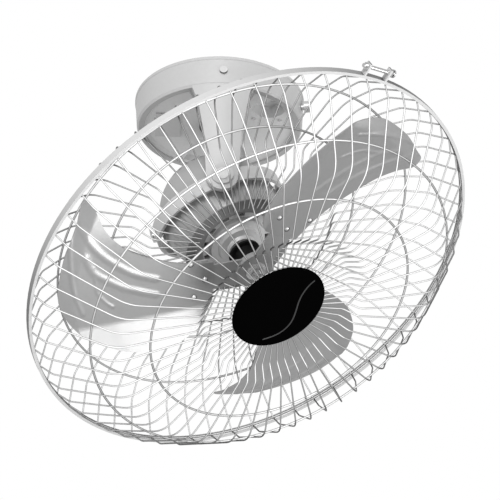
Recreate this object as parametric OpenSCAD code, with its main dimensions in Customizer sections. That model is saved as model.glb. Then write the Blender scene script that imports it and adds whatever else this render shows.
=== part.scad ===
// Orbital ceiling fan: a small caged fan on a gimbal ring, hung in a two-arm yoke under a
// canopy, with a crank behind the motor that leads the whole head round a cone.
// All sizes are in mm. The ceiling is at z = 0 and the fan hangs below it.

/* [Rest pose] */
// Turn of the gimbal ring about the yoke axis, in degrees
ring_rest = -23.6; // [-30:0.1:30]
// Turn of the head about its own pivots in the ring, in degrees
head_rest = -18.9; // [-30:0.1:30]
// Turn of the guards and the rotor about the fan axis, in degrees
guard_phase = -4.6; // [-6:0.1:6]

/* [Main sizes] */
// Drop from the ceiling to the point where both gimbal axes cross
pivot_drop = 131; // [130:1:150]
// Distance from the gimbal centre forward to the plane of the guard band
band_setback = 89.5; // [85:0.5:100]
// Outer radius of the band that joins the two guards
band_radius = 232.5; // [222:0.5:245]
// Radius of the circle swept by the blade tips
sweep_radius = 200; // [180:1:205]

/* [Canopy and yoke] */
// Outer radius of the canopy at the ceiling
canopy_radius = 88; // [84:1:100]
// Outer radius of the canopy at its lower edge
canopy_foot_radius = 85; // [82:1:88]
// Height of the canopy
canopy_height = 32; // [30:1:36]
// Wall of the canopy
canopy_wall = 2.4; // [1.6:0.2:3]
// Height of the raised bead round the top of the canopy
canopy_bead = 3; // [2:0.5:5]
// Width of the inward rim at the foot of the canopy
canopy_rim = 7; // [5:0.5:9]
// Outer radius of the two arms where they carry the ring
arm_foot_radius = 77; // [76.5:0.1:77.5]
// Wall of the two arms
arm_wall = 5.5; // [4:0.5:6]
// Width of an arm where it leaves the canopy
arm_root_width = 62; // [50:1:70]
// Width of an arm half way down
arm_waist_width = 38; // [36:1:48]
// Radius of the rounded end of an arm
arm_end_radius = 15.8; // [14:0.2:16]
// Radius of the round boss on the end of an arm
arm_boss_radius = 11; // [9:0.5:13]
// Height of that boss above the face of the arm
arm_boss_height = 1.5; // [1:0.5:3]

/* [Ceiling plate and underside] */
// Radius of the ceiling plate
plate_radius = 77; // [70:1:77]
// Thickness of the ceiling plate
plate_thickness = 3; // [2:0.5:4]
// Pitch circle of the ceiling screws
bolt_circle = 110; // [90:1:130]
// Radius of a ceiling screw hole
bolt_hole_radius = 2.75; // [2:0.25:3.5]
// Radius of the cable hole in the ceiling plate
cable_hole_radius = 15; // [10:1:20]
// Width of a side tab of the ceiling plate
tab_width = 14; // [10:1:18]
// Length of a side tab
tab_length = 24; // [20:1:28]
// Thickness of a side tab
tab_thickness = 2.5; // [2:0.5:3]
// Thickness of the dished underside plate
dish_thickness = 1.5; // [1:0.25:2.5]
// Height of the dish above the foot of the canopy
dish_depth = 4.5; // [3:0.5:6]
// Radius of the wiring opening in the dish
hollow_radius = 16.5; // [12:0.5:17]
// Distance of that opening from the middle, sideways
hollow_x = 49; // [47:1:50]
// Distance of that opening from the middle, front to back
hollow_y = -35; // [-35:1:-28]
// Depth of that opening, which is a cup closed at its top
hollow_depth = 14; // [10:1:16]
// Depth of the two recesses beside the roots of the arms
recess_depth = 6; // [4:0.5:8]
// Width of such a recess at the rim
recess_width = 72; // [66:1:76]
// Size of the bare metal plate on the dish, sideways
cover_width = 26; // [20:1:30]
// Size of the bare metal plate on the dish, front to back
cover_length = 44; // [36:1:50]
// Thickness of the bare metal plate
cover_thickness = 1.5; // [1:0.25:2.5]
// Distance of the bare metal plate from the middle
cover_offset = 53; // [48:1:55]

/* [Gimbal ring] */
// Outer radius of the gimbal ring
ring_radius = 69.5; // [68:0.5:69.5]
// Wall of the gimbal ring
ring_wall = 3.5; // [3:0.25:3.75]
// Width of the gimbal ring
ring_width = 15; // [12:0.5:17]
// Radius of the gimbal pins
pin_radius = 4; // [3:0.25:5]
// Play between a gimbal pin and the bore that turns on it
pin_play = 0.05; // [0.02:0.01:0.1]

/* [Motor] */
// Radius of the round motor housing
housing_radius = 60; // [58:0.5:61]
// Wall of the motor housing
housing_wall = 2.5; // [2:0.25:3]
// Radius of the front rim of the motor
rim_radius = 42; // [40:0.5:44]
// Distance of that rim behind the plane of the guard band
rim_setback = 41.6; // [40:0.2:44]
// Distance of the housing's joint line in front of the gimbal centre
split_offset = 12; // [11:0.5:14]
// Number of cooling ribs round the front shell
rib_count = 72; // [48:2:90]
// Depth of a cooling rib
rib_depth = 0.8; // [0.4:0.1:1.2]
// Number of air slots round the back of the housing
rear_slot_count = 36; // [24:2:40]
// Angle of those slots from the fan axis, in degrees
rear_slot_angle = 52; // [46:1:54]
// Width of a rear slot
rear_slot_width = 3.6; // [2.5:0.1:4]
// Length of a rear slot
rear_slot_length = 10; // [7:0.5:12]
// Radius of the bearing boss at the front of the motor
boss_radius = 30; // [27:0.5:31]
// Radius of the motor shaft
shaft_radius = 4; // [3:0.25:5]
// Distance of the shaft's end in front of the band plane
shaft_end = 14; // [12:0.5:16]
// Radius of the dark disc behind the blades
disc_radius = 16.5; // [14:0.5:18]
// Radius of the hub of the blade carrier
hub_radius = 20; // [18:0.5:21]
// Number of air slots in the front of the motor
front_slot_count = 12; // [8:1:16]

/* [Orbit crank] */
// Distance from the gimbal centre to the tip of the crank pin
crank_reach = 83.4; // [82:0.2:84]
// Thickness of the crank arm
crank_thickness = 5; // [4:0.5:6]
// Radius of the crank pin
crank_pin_radius = 4; // [3:0.25:5]
// Radius of the crank hub
crank_hub_radius = 13; // [11:0.5:15]
// Radius of the socket that the crank pin runs in
socket_radius = 13; // [11:0.5:16]
// Gap left between the pin and the socket
socket_gap = 0.6; // [0.4:0.1:1]

/* [Guards] */
// Number of wires in each guard
wire_count = 60; // [48:2:72]
// Thickness of a guard wire
wire_size = 1.6; // [1.4:0.1:2]
// Radius of the section of a guard ring
ring_wire_radius = 1.1; // [0.9:0.1:1.5]
// Radius at which the front wires start
front_start = 44; // [40:1:46]
// Height of the recess that carries the badge, in front of the band plane
front_recess_height = 57.5; // [54:0.5:60]
// Radius at which the front guard steps up
front_step_radius = 77; // [70:1:82]
// Width of that step
front_step_width = 12; // [8:1:16]
// Height of the flat front of the guard
front_height = 68; // [64:0.5:72]
// Distance of the front shoulder from the outer face of the band
front_shoulder_inset = 62.5; // [55:0.5:70]
// Distance from that face at which the front wires turn in to the band
front_knee_inset = 10.5; // [9.5:0.5:14]
// Height of that turn
front_knee_height = 15; // [12:0.5:18]
// Radius at which the rear wires start
rear_start = 47; // [46:0.5:50]
// Setback of the rear guard where it meets the motor
rear_seat_height = -36; // [-36.5:0.1:-35.5]
// Radius at which the rear guard steps back
rear_step_radius = 99; // [94:1:104]
// Width of that step
rear_step_width = 15; // [12:1:20]
// Setback of the flat back of the guard
rear_height = -54.5; // [-58:0.5:-52]
// Distance of the rear shoulder from the outer face of the band
rear_shoulder_inset = 54.5; // [50:0.5:60]
// Setback of the rear shoulder
rear_shoulder_height = -51.5; // [-53:0.5:-49]
// Distance from that face at which the rear wires turn in to the band
rear_knee_inset = 22.5; // [19:0.5:26]
// Setback of that turn
rear_knee_height = -32.5; // [-35:0.5:-30]
// Radius of the front ring nearer the badge
front_ring_radius = 135; // [125:1:145]
// Distance of the outer front ring from the outer face of the band
front_outer_ring_inset = 44.5; // [35:0.5:48]
// Radius of the inner rear ring
rear_ring_radius = 133; // [125:1:145]
// Distance of the outer rear ring from the outer face of the band
rear_outer_ring_inset = 44.5; // [36:0.5:45]
// Bend of the wires at the two steps
step_bend = 8; // [6:1:9]
// Bend of the front wires at the shoulder
front_shoulder_bend = 30; // [20:1:30]
// Bend of the front wires where they turn in to the band
front_knee_bend = 14; // [8:1:14]
// Bend of the rear wires at the shoulder
rear_shoulder_bend = 40; // [30:1:40]
// Bend of the rear wires where they turn in to the band
rear_knee_bend = 20; // [12:1:20]
// Width of the band
band_width = 7; // [6.6:0.2:8]
// Depth of the band's two flanges
band_flange = 3; // [2.5:0.25:3]
// Thickness of the band
band_wall = 1; // [0.8:0.1:1.4]

/* [Badge and clamp] */
// Radius of the badge
badge_radius = 48.6; // [46:0.2:52]
// Thickness of the badge
badge_thickness = 3; // [2:0.25:4]
// Angle of the band clamp round the fan, in degrees
clamp_angle = 58; // [0:1:360]
// Distance between the two clamp lugs
clamp_span = 26; // [20:1:30]
// Reach of the clamp lugs outside the band
clamp_reach = 12; // [10:0.5:13]
// Length of the clamp screw
clamp_screw_length = 38; // [36:1:46]
// Radius of the clamp screw
clamp_screw_radius = 2; // [1.5:0.25:2.5]

/* [Blades] */
// Number of blades
blade_count = 3; // [3:1:3]
// Angle of the first blade round the fan, in degrees
blade_angle = 172; // [0:1:360]
// Distance of the blade root from the axis
blade_root = 45; // [42:1:48]
// Thickness of the blade sheet
blade_thickness = 1.2; // [0.8:0.1:1.6]
// Distance of the fold line from the blade's centre line
fold_offset = 29; // [26:0.5:32]
// Height of the fold line in front of the band plane
fold_height = 6; // [5:0.5:7]
// Slope of the main panel at the fold line, in degrees
blade_pitch = 5.7; // [4:0.1:7]
// Radius of the gentle curve of the main panel
blade_curve_radius = 1250; // [1000:50:2000]
// Slope of the folded trailing panel, in degrees
trailing_pitch = 28; // [20:1:30]
// Width of the trailing panel at its widest
trailing_width = 32; // [24:1:34]
// Reach of the leading corner of the tip to the side
leading_reach = 107.5; // [100:0.5:110]
// Height of the embossed ribs
emboss_height = 1; // [0.4:0.1:1.2]
// Width of the embossed ribs
emboss_width = 4; // [2.5:0.1:4.5]
// Bend of the long embossed ribs
rib_bend = 60; // [50:1:60]
// Bend of the short embossed rib
short_rib_bend = 16; // [12:1:16]
// Width of an arm of the blade carrier
carrier_width = 28; // [24:1:30]
// Thickness of the blade carrier
carrier_thickness = 2; // [1.5:0.25:2.5]

/* [Hidden] */
$fn = 96;
overrun = 1;
half_turn = 180;
quarter_turn = 90;
full_turn = 360;

housing_inner = housing_radius - housing_wall;
rim_offset = band_setback - rim_setback;
ring_inner = ring_radius - ring_wall;
pin_bore = pin_radius + pin_play;
shaft_bore = shaft_radius + pin_play;
boss_step = boss_radius / 4;
screw_radius = clamp_screw_radius;
screw_head_radius = 2 * screw_radius;
screw_head_height = screw_radius;
clamp_line = clamp_reach * 2 / 3;
dish_top = -canopy_height + dish_depth + dish_thickness;
dish_face = -canopy_height + dish_depth;
arm_face_slope = (canopy_foot_radius - arm_foot_radius) / (pivot_drop - canopy_height);
wire_half = wire_size / 2;
band_inner = band_radius - band_wall;
rim_wire_radius = (band_width - 2 * band_wall) / 4;
rim_ring_radius = band_inner - rim_wire_radius;
rim_ring_height = rim_wire_radius;
band_middle = -band_width / 2 + band_wall;
wire_end_radius = rim_ring_radius - rim_wire_radius;

// Places of the two bearings along the fan's axis
floor_bearing = -rim_setback - 3 * housing_wall;
rear_bearing = -band_setback - split_offset;

// A small step between neighbouring faces
small_step = pin_radius / 4;

// Heights of the outer guard rings, which lie on the inner side of the sloping wires
weld_reach = ring_wire_radius + wire_half / 2;
front_shoulder_radius = band_radius - front_shoulder_inset;
front_knee_radius = band_radius - front_knee_inset;
rear_shoulder_radius = band_radius - rear_shoulder_inset;
rear_knee_radius = band_radius - rear_knee_inset;
front_outer_ring_radius = band_radius - front_outer_ring_inset;
rear_outer_ring_radius = band_radius - rear_outer_ring_inset;
front_fall = atan2(front_height - front_knee_height, front_knee_radius - front_shoulder_radius);
front_outer_ring_height = front_height - weld_reach / cos(front_fall)
    - (front_outer_ring_radius - front_shoulder_radius) * tan(front_fall);
rear_rise = atan2(rear_knee_height - rear_shoulder_height, rear_knee_radius - rear_shoulder_radius);
rear_outer_ring_height = rear_shoulder_height + weld_reach / cos(rear_rise)
    + (rear_outer_ring_radius - rear_shoulder_radius) * tan(rear_rise);

// Plan of a blade as shares of the swept radius, first the leading side, then the tip and the trailing side
lead_shares = [[0.225, -0.1], [0.35, -0.12], [0.465, -0.155], [0.585, -0.21], [0.69, -0.275], [0.775, -0.375]];
tip_shares = [[0.83, -0.51], [0.86, -0.54], [1.1, -0.54], [1.1, 0]];
trail_shares = [
    [0.985, 0.04], [0.96, 0.1], [0.915, 0.16], [0.85, 0.21], [0.77, 0.25], [0.69, 0.28],
    [0.575, 0.3], [0.475, 0.3], [0.335, 0.25], [0.25, 0.16], [0.225, 0.12]
];

// Bends of the four embossed ribs, also as shares of the swept radius
outer_rib_shares = [[0.91, 0.02], [0.95, -0.19], [0.91, -0.495]];
short_rib_shares = [[0.75, 0.04], [0.84, -0.08], [0.84, -0.2]];
upper_rib_shares = [[0.505, 0.02], [0.66, -0.02], [0.8, -0.14]];
lower_rib_shares = [[0.52, -0.075], [0.725, -0.18], [0.87, -0.38]];

// Places of the blade rivets, as shares of the swept radius
rivet_shares = [[0.35, -0.1], [0.32, 0.095], [0.27, 0]];

// Places of the rivets round the wiring opening, as shares of its reach
dish_rivet_shares = [[-1, -0.2], [0.6, 0.95], [-0.7, 0.9]];

// Direction of the crank pin in the head, so that at rest it points straight up
crank_azimuth = atan2(cos(ring_rest) * sin(head_rest), -sin(ring_rest));
crank_cone = acos(cos(ring_rest) * cos(head_rest));
crank_floor = housing_radius + canopy_wall;
crank_top = crank_floor + crank_thickness;
crank_throw = (crank_floor + crank_thickness / 2) * tan(crank_cone);
crank_shaft_radius = crank_pin_radius * 1.25;
socket_mouth = pivot_drop - crank_reach - socket_gap;

// Places a piece drawn round the gimbal centre so that it turns with the ring
module in_ring() {
    translate([0, 0, -pivot_drop])
        rotate([0, ring_rest, 0])
            children();
}

// Places a piece drawn round the gimbal centre, with the fan's rear along +Z
module in_head() {
    in_ring()
        rotate([head_rest, 0, 0])
            children();
}

// Places a piece drawn from the band plane, with the fan's front along +Z
module in_fan() {
    in_head()
        rotate([half_turn, 0, 0])
            translate([0, 0, band_setback])
                children();
}

// Repeats a piece evenly round the Z axis
module around(count, start = 0) {
    for (i = [0 : count - 1])
        rotate([0, 0, start + i * full_turn / count])
            children();
}

// A flat ring standing on z = 0
module tube(outer, inner, height) {
    difference() {
        cylinder(r = outer, h = height);
        translate([0, 0, -overrun])
            cylinder(r = inner, h = height + 2 * overrun);
    }
}

// A round ring of wire
module wire_ring(radius, height, section = ring_wire_radius) {
    rotate_extrude()
        translate([radius, height])
            circle(r = section, $fn = 24);
}

// Direction from one point of a path to the next
function heading(a, b) = (b - a) / norm(b - a);

// Replaces a corner of a path by an arc of the given radius
function bend(a, b, c, radius) =
    let (
        u = heading(b, a),
        v = heading(b, c),
        opening = acos(u * v),
        reach = radius / tan(opening / 2),
        middle = b + heading([0, 0], u + v) * radius / sin(opening / 2),
        from = b + u * reach - middle,
        side = sign(u[0] * v[1] - u[1] * v[0]),
        sweep = side * (half_turn - opening),
        steps = 4
    )
    [for (i = [0 : steps])
        let (turn = -sweep * i / steps)
        middle + [from[0] * cos(turn) - from[1] * sin(turn), from[0] * sin(turn) + from[1] * cos(turn)]];

// A path with every inner corner rounded by its own radius
function rounded(points, radii) = [
    each [points[0]],
    for (i = [1 : len(points) - 2])
        each bend(points[i - 1], points[i], points[i + 1], radii[i]),
    each [points[len(points) - 1]]
];

// One side of a strip that follows a path
function strip_side(path, shift) = [
    for (i = [0 : len(path) - 1])
        let (
            before = path[max(i - 1, 0)],
            after = path[min(i + 1, len(path) - 1)],
            along = heading(before, after)
        )
        path[i] + shift * [-along[1], along[0]]
];

// The outline of a strip of even width along a path
function strip(path, width) = concat(
    strip_side(path, width / 2),
    [for (p = [len(path) - 1 : -1 : 0]) strip_side(path, -width / 2)[p]]
);

// Front wire, as distance from the axis and height above the band plane
front_path = rounded([
    [front_start, front_recess_height],
    [front_step_radius, front_recess_height],
    [front_step_radius + front_step_width, front_height],
    [front_shoulder_radius, front_height],
    [front_knee_radius, front_knee_height],
    [wire_end_radius, rim_ring_height + band_middle]
], [0, step_bend, step_bend, front_shoulder_bend, front_knee_bend, 0]);

// Rear wire, in the same way
rear_path = rounded([
    [rear_start, rear_seat_height],
    [rear_step_radius, rear_seat_height],
    [rear_step_radius + rear_step_width, rear_height],
    [rear_shoulder_radius, rear_shoulder_height],
    [rear_knee_radius, rear_knee_height],
    [wire_end_radius, -rim_ring_height + band_middle]
], [0, step_bend, step_bend, rear_shoulder_bend, rear_knee_bend, 0]);

// All the wires of one guard, each a strip stood on edge along its path
module guard_wires(path) {
    around(wire_count, guard_phase)
        rotate([quarter_turn, 0, 0])
            translate([0, 0, -wire_half])
                linear_extrude(height = wire_size)
                    polygon(strip(path, wire_size));
}

// Flat mounting plate against the ceiling, with three tabs for the canopy screws
module ceiling_plate() {
    color([0.75, 0.76, 0.78])
    difference() {
        union() {
            translate([0, 0, -plate_thickness])
                cylinder(r = plate_radius, h = plate_thickness);
            around(3, -quarter_turn)
                translate([plate_radius - tab_thickness, -tab_width / 2, -tab_length])
                    cube([2 * tab_thickness, tab_width, tab_length]);
        }
        translate([0, 0, -plate_thickness - overrun])
            cylinder(r = cable_hole_radius, h = plate_thickness + 2 * overrun);
        around(4, quarter_turn / 2)
            translate([bolt_circle / 2, 0, -plate_thickness - overrun])
                cylinder(r = bolt_hole_radius, h = plate_thickness + 2 * overrun);
        around(3, -quarter_turn)
            translate([0, 0, -canopy_height / 2])
                rotate([0, quarter_turn, 0])
                    cylinder(r = screw_radius, h = canopy_radius);
    }
}

// Outline of an arm seen from the front, with its root flared into the canopy
module arm_outline() {
    root = arm_root_width / 2;
    waist = arm_waist_width / 2;
    waist_drop = (pivot_drop + canopy_height) / 2;
    polygon([
        [-root, -canopy_height / 2],
        [-root, -canopy_height],
        [-(root + waist) / 2, -canopy_height - root / 2],
        [-waist, -waist_drop],
        [-arm_end_radius, -pivot_drop],
        [arm_end_radius, -pivot_drop],
        [waist, -waist_drop],
        [(root + waist) / 2, -canopy_height - root / 2],
        [root, -canopy_height],
        [root, -canopy_height / 2]
    ]);
    translate([0, -pivot_drop])
        circle(r = arm_end_radius);
}

// Cone shell that the arms are cut from, so that their faces follow the canopy
module arm_shell() {
    foot = -pivot_drop - arm_end_radius - overrun;
    foot_radius = arm_foot_radius - arm_face_slope * (arm_end_radius + overrun);
    head_radius = canopy_foot_radius + arm_face_slope * canopy_height / 2;
    rotate_extrude()
        polygon([
            [foot_radius - arm_wall, foot],
            [foot_radius, foot],
            [head_radius, -canopy_height / 2],
            [head_radius - arm_wall, -canopy_height / 2]
        ]);
}

// Canopy cup with its two arms in one piece
module canopy() {
    color([0.8, 0.81, 0.82])
    difference() {
        union() {
            rotate_extrude()
                polygon([
                    [canopy_radius - canopy_wall, 0],
                    [canopy_radius, 0],
                    [canopy_radius, -canopy_bead],
                    [canopy_radius - canopy_wall / 4, -canopy_bead - canopy_wall / 4],
                    [canopy_foot_radius + canopy_wall / 4, -canopy_height + canopy_wall],
                    [canopy_foot_radius - canopy_wall / 2, -canopy_height],
                    [canopy_foot_radius - canopy_rim, -canopy_height],
                    [canopy_foot_radius - canopy_rim, -canopy_height + canopy_wall],
                    [canopy_foot_radius - canopy_wall, -canopy_height + canopy_wall]
                ]);
            intersection() {
                arm_shell();
                rotate([quarter_turn, 0, 0])
                    linear_extrude(height = 2 * canopy_radius, center = true)
                        arm_outline();
            }
            for (side = [-1, 1])
                translate([0, 0, -pivot_drop])
                    rotate([side * quarter_turn, 0, 0])
                        translate([0, 0, arm_foot_radius - arm_wall - small_step])
                            cylinder(r = arm_boss_radius, h = arm_wall + arm_boss_height + small_step);
        }
        translate([0, 0, -pivot_drop])
            rotate([quarter_turn, 0, 0])
                cylinder(r = pin_radius, h = 2 * canopy_radius, center = true);
        around(3, -quarter_turn)
            translate([0, 0, -canopy_height / 2])
                rotate([0, quarter_turn, 0])
                    cylinder(r = screw_radius, h = canopy_radius + overrun);
    }
}

// Flared outline of the recesses in the underside beside the roots of the arms
module recess_outline(grow = 0) {
    near = socket_radius + 3 * screw_head_radius;
    far = canopy_foot_radius - canopy_rim - 3 * canopy_wall;
    for (side = [-1, 1])
        polygon([
            [-recess_width / 2 - grow, side * (far + grow)],
            [-recess_width / 3.5 - grow, side * (near - grow)],
            [recess_width / 3.5 + grow, side * (near - grow)],
            [recess_width / 2 + grow, side * (far + grow)]
        ]);
}

// Dished plate that closes the canopy from below, with a recess at each arm and a cup for the wiring
module underside_dish() {
    rim = canopy_foot_radius - arm_wall - small_step / 2;
    shelf = -canopy_height + canopy_wall;
    slope = dish_face - shelf;
    color([0.3, 0.31, 0.32])
    difference() {
        union() {
            rotate_extrude()
                polygon([
                    [socket_radius / 2, dish_face],
                    [canopy_foot_radius - canopy_rim - 2 * slope, dish_face],
                    [canopy_foot_radius - canopy_rim, shelf],
                    [rim, shelf],
                    [rim, shelf + dish_thickness],
                    [canopy_foot_radius - canopy_rim, shelf + dish_thickness],
                    [canopy_foot_radius - canopy_rim - 2 * slope, dish_top],
                    [socket_radius / 2, dish_top]
                ]);
            translate([0, 0, dish_face])
                linear_extrude(height = recess_depth + dish_thickness)
                    recess_outline(dish_thickness);
            translate([hollow_x, hollow_y, dish_face])
                cylinder(r = hollow_radius + dish_thickness, h = hollow_depth + dish_thickness);
        }
        translate([0, 0, dish_face - overrun])
            linear_extrude(height = recess_depth + overrun)
                recess_outline();
        translate([hollow_x, hollow_y, dish_face - overrun])
            cylinder(r = hollow_radius, h = hollow_depth + overrun);
    }
}

// Bare metal plate on the underside, with a small raised terminal
module dish_cover() {
    terminal = cover_width / 4;
    color([0.82, 0.83, 0.84])
    translate([-cover_offset, 0, dish_face - cover_thickness]) {
        translate([-cover_width / 2, -cover_length / 2, 0])
            cube([cover_width, cover_length, cover_thickness]);
        translate([-cover_width / 4, -cover_length / 3, -cover_thickness])
            cylinder(r = terminal / 2, h = cover_thickness);
    }
}

// Rivets beside the wiring opening and on the bare plate
module dish_rivets() {
    rivet = screw_radius;
    reach = hollow_radius + 2 * rivet;
    color([0.7, 0.71, 0.72])
    for (place = dish_rivet_shares)
        translate([hollow_x + reach * place[0], hollow_y + reach * place[1], dish_face - rivet / 2])
            cylinder(r = rivet, h = rivet / 2);
}

// Socket under the middle of the canopy that leads the crank pin
module orbit_socket() {
    color([0.45, 0.46, 0.48])
    difference() {
        union() {
            translate([0, 0, -socket_mouth])
                cylinder(r = socket_radius, h = socket_mouth + dish_face);
            translate([0, 0, dish_face - cover_thickness])
                cylinder(r = socket_radius + 2 * screw_head_radius, h = cover_thickness);
            translate([0, 0, -socket_mouth])
                cylinder(r = socket_radius / 2, h = socket_mouth + dish_top);
        }
        translate([0, 0, -socket_mouth - overrun])
            cylinder(r = crank_shaft_radius, h = 2 * socket_radius);
    }
}

// Pan-head screws that hold the canopy on the tabs of the ceiling plate
module canopy_screws() {
    seat = canopy_foot_radius + (canopy_radius - canopy_foot_radius) * 0.7;
    color([0.78, 0.78, 0.78])
    around(3, -quarter_turn)
        translate([seat, 0, -canopy_height / 2])
            rotate([0, quarter_turn, 0]) {
                cylinder(r = screw_head_radius, h = screw_head_height);
                translate([0, 0, -3 * screw_head_radius])
                    cylinder(r = screw_radius, h = 3 * screw_head_radius);
            }
}

// Round knob on the side of the canopy
module canopy_knob() {
    seat = canopy_foot_radius + (canopy_radius - canopy_foot_radius) / 2;
    knob = 3 * screw_radius;
    color([0.72, 0.73, 0.74])
    rotate([0, 0, -quarter_turn / 6])
        translate([seat + canopy_wall / 8, 0, -canopy_height / 2])
            rotate([0, quarter_turn, 0]) {
                cylinder(r = knob / 2, h = knob);
                translate([0, 0, knob / 2])
                    cylinder(r = knob, h = knob);
            }
}

// Pins through the ends of the arms that the gimbal ring turns on
module yoke_pins() {
    color([0.8, 0.81, 0.83])
    translate([0, 0, -pivot_drop])
        for (side = [-1, 1])
            rotate([side * quarter_turn, 0, 0]) {
                translate([0, 0, ring_inner - small_step / 2])
                    cylinder(r = pin_radius, h = arm_foot_radius + arm_boss_height - ring_inner + small_step / 2);
                translate([0, 0, arm_foot_radius + arm_boss_height])
                    cylinder(r = 1.6 * pin_radius, h = small_step);
            }
}

// Thin washers between the arms and the gimbal ring
module yoke_washers() {
    gap = arm_foot_radius - arm_wall - small_step - ring_radius;
    color([0.2, 0.2, 0.2])
    translate([0, 0, -pivot_drop])
        for (side = [-1, 1])
            rotate([side * quarter_turn, 0, 0])
                translate([0, 0, ring_radius + gap / 4])
                    tube(2 * pin_radius, pin_radius, 3 * gap / 4);
}

// Gimbal ring, bored for the yoke pins and for the pins of the head
module gimbal_ring() {
    color([0.86, 0.87, 0.88])
    in_ring()
        difference() {
            union() {
                translate([0, 0, -ring_width / 2])
                    tube(ring_radius, ring_inner, ring_width);
            }
            rotate([quarter_turn, 0, 0])
                cylinder(r = pin_bore, h = 2 * canopy_radius, center = true);
            rotate([0, quarter_turn, 0])
                cylinder(r = pin_radius, h = 2 * canopy_radius, center = true);
        }
}

// Pins of the head, pressed into the ring
module head_pins() {
    color([0.8, 0.81, 0.83])
    in_ring()
        for (side = [-1, 1])
            rotate([0, side * quarter_turn, 0])
                translate([0, 0, housing_radius - 2 * housing_wall])
                    cylinder(r = pin_radius, h = ring_radius + pin_radius - housing_radius + 2 * housing_wall);
}

// Nuts on the outside of the ring
module pin_nuts() {
    color([0.85, 0.85, 0.86])
    in_ring()
        for (side = [-1, 1])
            rotate([0, side * quarter_turn, 0])
                translate([0, 0, ring_radius])
                    difference() {
                        cylinder(r = 2 * pin_radius, h = 0.8 * pin_radius, $fn = 6);
                        translate([0, 0, -overrun])
                            cylinder(r = pin_radius, h = pin_radius + 2 * overrun);
                    }
}

// Domed rear cover of the motor, slotted round its back and bored for the head pins
module rear_cover() {
    pad_radius = crank_hub_radius + housing_wall;
    pivot_boss = 2 * pin_radius + small_step;
    color([0.6, 0.61, 0.62])
    in_head()
        difference() {
            union() {
                difference() {
                    sphere(r = housing_radius, $fn = 128);
                    sphere(r = housing_inner, $fn = 128);
                }
                translate([0, 0, housing_inner - housing_wall])
                    cylinder(r = pad_radius, h = 2 * housing_wall + housing_wall / 2);
                for (side = [-1, 1])
                    rotate([0, side * quarter_turn, 0])
                        translate([0, 0, housing_radius - 3 * housing_wall])
                            cylinder(r = pivot_boss, h = 3 * housing_wall + ring_wall / 3);
            }
            translate([0, 0, -2 * housing_radius - split_offset])
                cylinder(r = 2 * housing_radius, h = 2 * housing_radius);
            rotate([0, quarter_turn, 0])
                cylinder(r = pin_bore, h = 2 * canopy_radius, center = true);
            cylinder(r = crank_shaft_radius + pin_play, h = 2 * housing_radius);
            around(rear_slot_count)
                rotate([0, rear_slot_angle, 0])
                    translate([-rear_slot_length / 2, -rear_slot_width / 2, housing_inner - housing_wall])
                        cube([rear_slot_length, rear_slot_width, 3 * housing_wall]);
        }
}

// Front shell of the motor, with cooling ribs down to its rim
module front_shell() {
    joint_radius = sqrt(pow(housing_radius, 2) - pow(split_offset, 2));
    belt = split_offset + housing_wall * 3;
    belt_radius = sqrt(pow(housing_radius, 2) - pow(belt, 2));
    rib_angle = full_turn / rib_count;
    color([0.66, 0.67, 0.68])
    in_head()
        mirror([0, 0, 1])
            union() {
                rotate_extrude()
                    polygon([
                        [joint_radius - housing_wall, split_offset],
                        [joint_radius, split_offset],
                        [belt_radius, belt],
                        [belt_radius - rib_depth, belt],
                        [rim_radius - rib_depth, rim_offset - housing_wall],
                        [rim_radius, rim_offset - housing_wall],
                        [rim_radius, rim_offset],
                        [rim_radius - 2 * housing_wall, rim_offset],
                        [rim_radius - 2 * housing_wall, rim_offset - 2 * housing_wall],
                        [belt_radius - rib_depth - housing_wall, belt + housing_wall]
                    ]);
                intersection() {
                    rotate_extrude()
                        polygon([
                            [belt_radius - rib_depth - housing_wall, belt],
                            [belt_radius, belt],
                            [rim_radius, rim_offset - housing_wall],
                            [rim_radius - rib_depth - housing_wall, rim_offset - housing_wall]
                        ]);
                    linear_extrude(height = rim_offset)
                        polygon([
                            for (i = [0 : rib_count - 1])
                                each [
                                    [for (c = [cos(i * rib_angle), sin(i * rib_angle)]) (rim_radius - 2 * rib_depth) * c],
                                    [for (c = [cos((i + 0.08) * rib_angle), sin((i + 0.08) * rib_angle)]) 2 * rim_radius * c],
                                    [for (c = [cos((i + 0.78) * rib_angle), sin((i + 0.78) * rib_angle)]) 2 * rim_radius * c],
                                    [for (c = [cos((i + 0.86) * rib_angle), sin((i + 0.86) * rib_angle)]) (rim_radius - 2 * rib_depth) * c]
                                ]
                        ]);
                }
            }
}

// Stepped bearing boss with a slotted floor, inside the front rim
module front_boss() {
    floor_radius = rim_radius - 2 * housing_wall;
    floor_top = -rim_setback - housing_wall;
    slot = boss_step * 0.45;
    color([0.5, 0.51, 0.52])
    in_fan()
        difference() {
            rotate_extrude()
                polygon([
                    [shaft_radius + small_step, floor_top - 2 * housing_wall],
                    [floor_radius, floor_top - 2 * housing_wall],
                    [floor_radius, floor_top],
                    [boss_radius, floor_top],
                    [boss_radius - housing_wall / 2, -rim_setback + housing_wall],
                    [boss_radius - boss_step, -rim_setback + housing_wall + small_step],
                    [boss_radius - boss_step - small_step, -rim_setback + 3 * housing_wall],
                    [boss_radius / 2, -rim_setback + 3 * housing_wall + small_step],
                    [boss_radius / 2 - small_step, -rim_setback + 5 * housing_wall],
                    [shaft_radius + small_step, -rim_setback + 5 * housing_wall]
                ]);
            translate([0, 0, floor_top - 2 * housing_wall - overrun])
                cylinder(r = boss_radius / 2.5, h = 3 * housing_wall);
            around(front_slot_count, full_turn / front_slot_count / 2)
                translate([boss_radius + small_step, -slot, floor_top - 2 * housing_wall - overrun])
                    cube([floor_radius - boss_radius - 2 * small_step, 2 * slot, 2 * housing_wall + 2 * overrun]);
        }
}

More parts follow.
